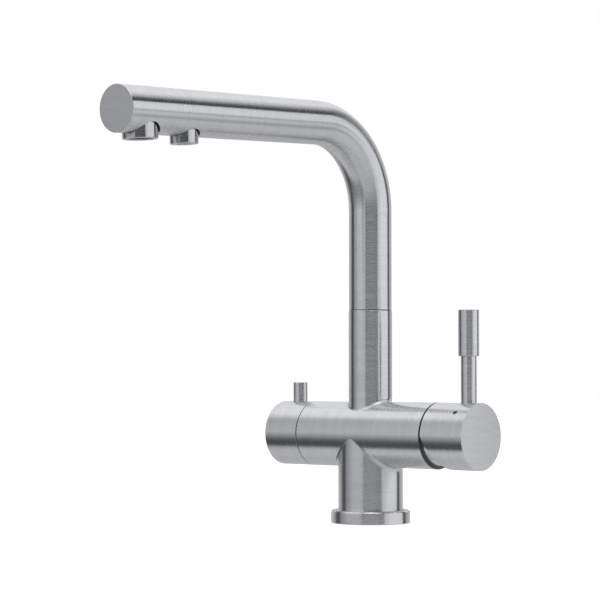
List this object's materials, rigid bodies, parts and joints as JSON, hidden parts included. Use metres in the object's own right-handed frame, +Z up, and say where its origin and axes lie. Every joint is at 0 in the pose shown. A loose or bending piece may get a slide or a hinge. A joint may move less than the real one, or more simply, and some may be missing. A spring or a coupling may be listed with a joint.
{
  "type": "three way filtered water kitchen tap",
  "caption": "Deck mounted kitchen tap with an L shaped swivel spout, a mixing lever on one end of its barrel and a filtered water knob on the other, in brushed stainless steel.",
  "frame": {"origin": "centre of the base flange's underside, on the worktop", "axes": "+Z up along the column; +X along the barrel to the mixing lever; the spout points to -Y at rest"},
  "size_m": [0.1628, 0.2561, 0.2711],
  "materials": {
    "brushed_stainless": "fine brushed",
    "spring_steel": "satin",
    "brass": "turned",
    "alumina": "lapped",
    "acetal": "moulded",
    "ptfe": "moulded",
    "polyethylene": "extruded",
    "dark_trim": "moulded",
    "rubber": "moulded",
    "red_plastic": "moulded",
    "blue_plastic": "moulded"
  },
  "bodies": {
    "body": {"base_flange": "brushed_stainless", "base_gasket": "rubber", "body_shell": "brushed_stainless", "inlet_manifold": "brass", "manifold_circlip": "spring_steel", "manifold_o_rings": "rubber", "cartridge_base": "acetal", "cartridge_seals": "rubber", "cartridge_housing": "acetal", "cartridge_nut": "brass", "fixed_disc": "alumina", "trim_ring": "brushed_stainless", "filter_valve_body": "brass", "filter_seat_seal": "rubber", "filter_fixed_disc": "alumina", "swivel_stop_screw": "spring_steel"},
    "turret": {"turret": "acetal", "pivot_pin": "spring_steel"},
    "upper_disc": {"moving_disc": "alumina", "disc_carrier": "acetal"},
    "mixing_lever": {"lever_stem": "brass", "mixer_knob": "brushed_stainless", "knob_grub_screw": "spring_steel", "indicator_red": "red_plastic", "indicator_blue": "blue_plastic", "lever_rod": "brushed_stainless", "lever_grip": "brushed_stainless"},
    "filter_handle": {"filter_spindle": "brass", "filter_moving_disc": "alumina", "spindle_o_rings": "rubber", "spindle_clip": "spring_steel", "filter_knob": "brushed_stainless", "filter_knob_screw": "spring_steel", "filter_pin": "brushed_stainless"},
    "spout": {"spout_tube": "brushed_stainless", "spout_end_cap": "brushed_stainless", "swivel_spigot": "brass", "spigot_o_rings": "rubber", "glide_rings": "ptfe", "glide_washer": "dark_trim", "filter_tube": "polyethylene", "filter_ferrule": "brass", "ferrule_o_ring": "rubber", "outlet_block": "dark_trim", "aerator_housing": "brushed_stainless", "aerator_insert": "dark_trim", "aerator_washer": "rubber", "filter_nozzle": "brushed_stainless", "nozzle_insert": "dark_trim", "nozzle_washer": "rubber"}
  },
  "joints": [
    {"name": "spout_swivel", "type": "hinge", "parent": "body", "child": "spout", "pos_m": [0, 0, 0.1384], "axis": [0, 0, 1], "range_deg": [-90, 90]},
    {"name": "mixer_temperature", "type": "hinge", "parent": "body", "child": "turret", "pos_m": [0.05, 0, 0.0575], "axis": [1, 0, 0], "range_deg": [-50, 50]},
    {"name": "mixer_lift", "type": "hinge", "parent": "turret", "child": "mixing_lever", "pos_m": [0.057, 0, 0.0575], "axis": [0, 1, 0], "range_deg": [0, 18]},
    {"name": "disc_travel", "type": "slide", "parent": "turret", "child": "upper_disc", "axis": [0, 0, 1], "range_m": [0, 0.006]},
    {"name": "filter_turn", "type": "hinge", "parent": "body", "child": "filter_handle", "pos_m": [-0.05, 0, 0.0575], "axis": [1, 0, 0], "range_deg": [0, 90]}
  ],
  "couplings": [
    {"joint": "disc_travel", "follows": "mixer_lift", "m_per_rad": 0.019071}
  ]
}
